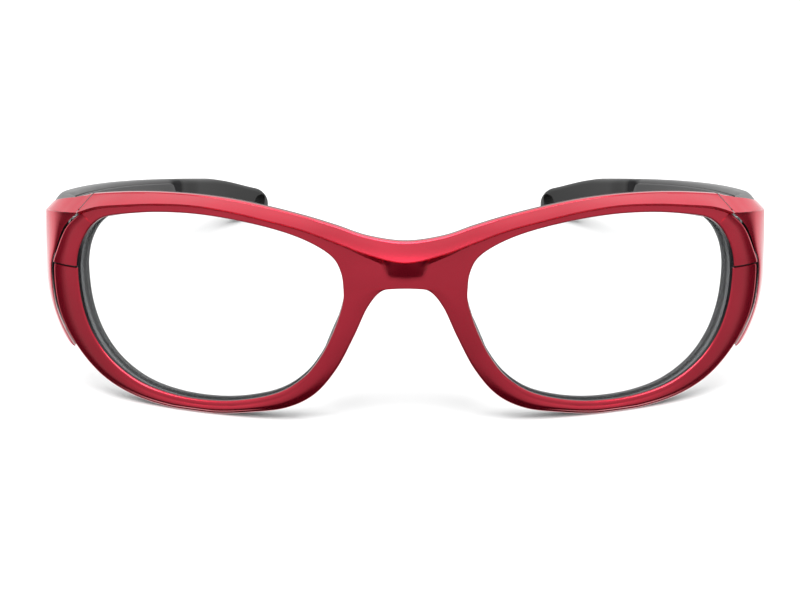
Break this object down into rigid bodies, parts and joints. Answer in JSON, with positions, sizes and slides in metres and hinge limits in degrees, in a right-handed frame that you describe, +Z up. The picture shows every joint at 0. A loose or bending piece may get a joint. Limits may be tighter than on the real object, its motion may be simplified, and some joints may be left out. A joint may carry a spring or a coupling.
{
  "type": "dental loupe frame",
  "caption": "Wraparound full-rim spectacle carrier for dental loupes: glossy red front with a brow facet, black rear frame, clear curved lenses and folding black temples.",
  "frame": {"origin": "middle of the footprint, on the surface that the lower rims and the ear tips stand on", "axes": "+Z up, -Y the way the wearer looks, +X the wearer's left; the temples are open"},
  "size_m": [0.1452, 0.1486, 0.0433],
  "materials": {
    "red_gloss": "metallic red lacquer under a clear gloss coat",
    "black_nylon": "black nylon with a soft sheen",
    "dark_satin": "dark grey satin plastic",
    "black_rubber": "soft black rubber",
    "clear_lens": "clear, hard-coated",
    "steel": "fine brushed"
  },
  "bodies": {
    "front": {"front_shell": "red_gloss", "inner_frame": "black_nylon", "lens_left": "clear_lens", "lens_right": "clear_lens", "nose_pad_left": "black_rubber", "nose_pad_right": "black_rubber", "hinge_leaf_front_left": "steel", "hinge_leaf_front_right": "steel", "hinge_pin_left": "steel", "hinge_pin_right": "steel", "front_leaf_screw_1_left": "steel", "front_leaf_screw_1_right": "steel", "front_leaf_screw_2_left": "steel", "front_leaf_screw_2_right": "steel"},
    "left_temple": {"temple_cap_left": "red_gloss", "temple_arm_left": "black_nylon", "temple_liner_left": "dark_satin", "ear_tip_left": "black_rubber", "hinge_leaf_temple_left": "steel", "temple_leaf_screw_1_left": "steel", "temple_leaf_screw_2_left": "steel"},
    "right_temple": {"temple_cap_right": "red_gloss", "temple_arm_right": "black_nylon", "temple_liner_right": "dark_satin", "ear_tip_right": "black_rubber", "hinge_leaf_temple_right": "steel", "temple_leaf_screw_1_right": "steel", "temple_leaf_screw_2_right": "steel"}
  },
  "joints": [
    {"name": "left_temple_fold", "type": "hinge", "parent": "front", "child": "left_temple", "pos_m": [0.066, -0.04614, 0.0284], "axis": [0, 0, 1], "range_deg": [0, 74]},
    {"name": "right_temple_fold", "type": "hinge", "parent": "front", "child": "right_temple", "pos_m": [-0.066, -0.04614, 0.0284], "axis": [0, 0, -1], "range_deg": [0, 58]}
  ]
}
